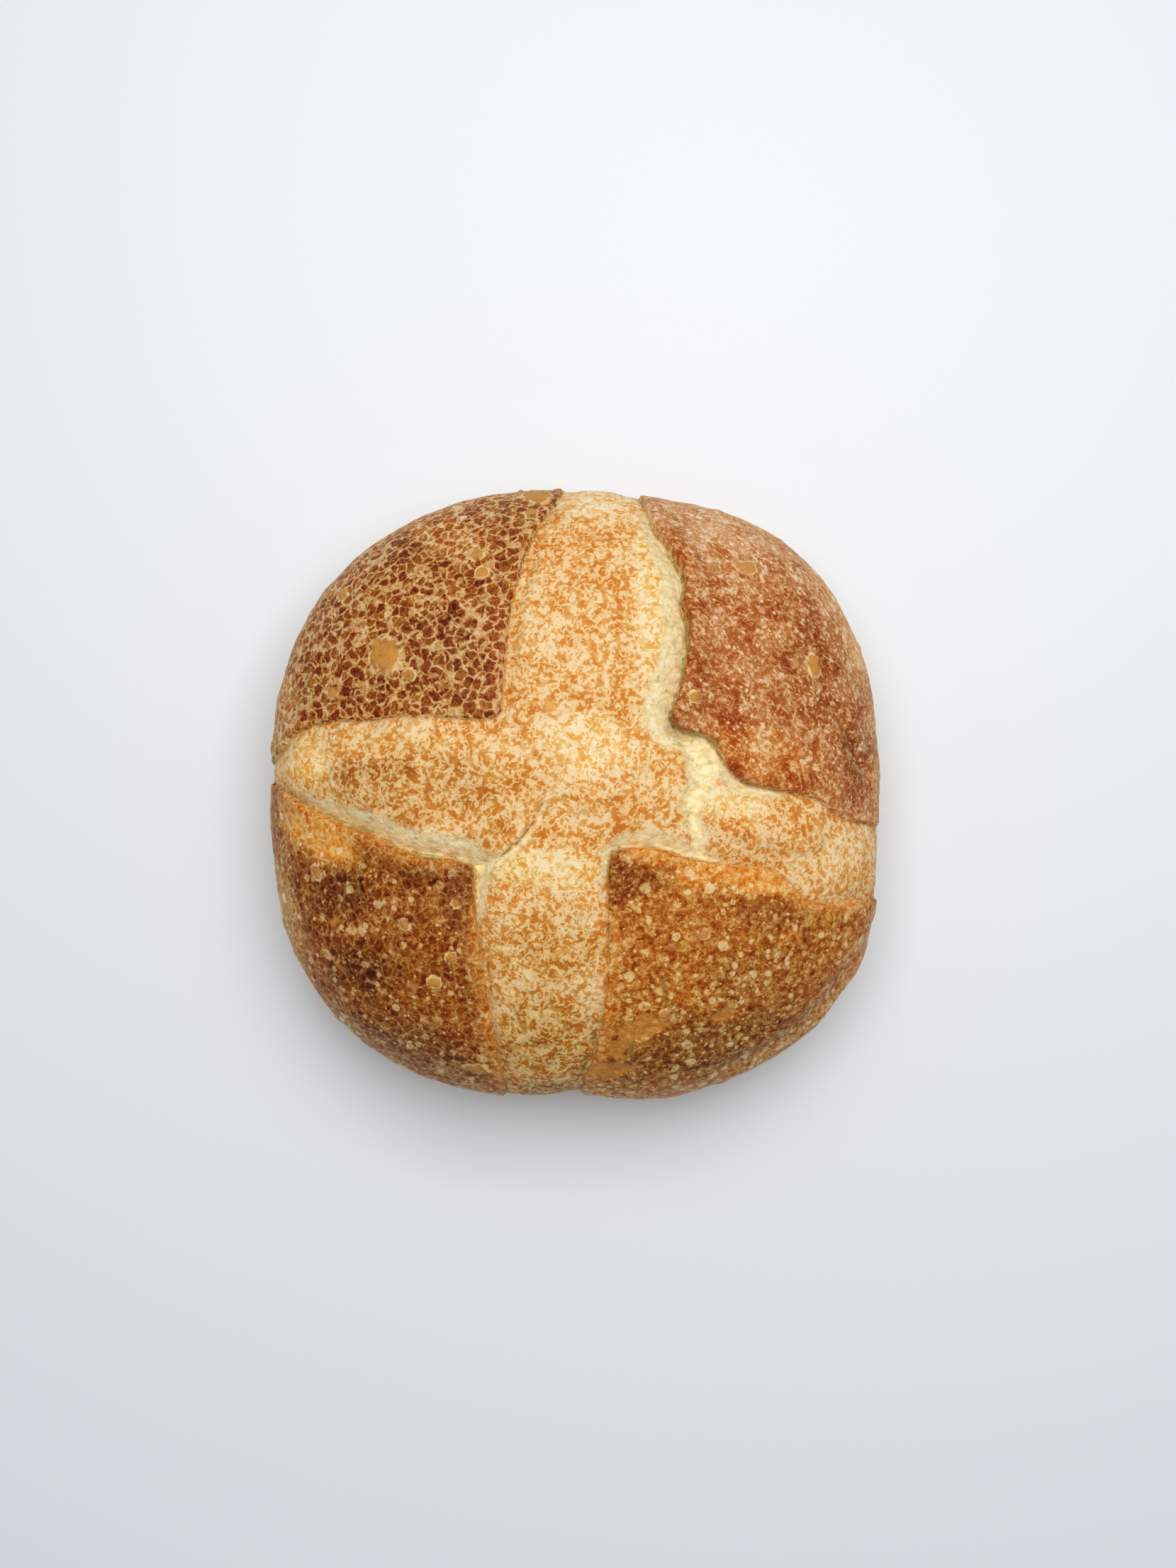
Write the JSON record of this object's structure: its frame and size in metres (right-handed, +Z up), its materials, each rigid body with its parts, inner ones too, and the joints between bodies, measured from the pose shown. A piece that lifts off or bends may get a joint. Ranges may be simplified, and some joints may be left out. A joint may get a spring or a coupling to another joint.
{
  "type": "boule",
  "caption": "Round crusty loaf with a cross scored in its top, four raised crust flaps and a flat base.",
  "frame": {"origin": "middle of the flat base the loaf stands on", "axes": "+Z up through the crown, -Y to the front of the loaf (the picture's lower side), +X to its right"},
  "size_m": [0.2, 0.1994, 0.09],
  "materials": {
    "crust": "matt golden brown baked crust with pale torn crumb in the scored cross"
  },
  "bodies": {
    "root": {"boule": "crust"}
  },
  "joints": []
}
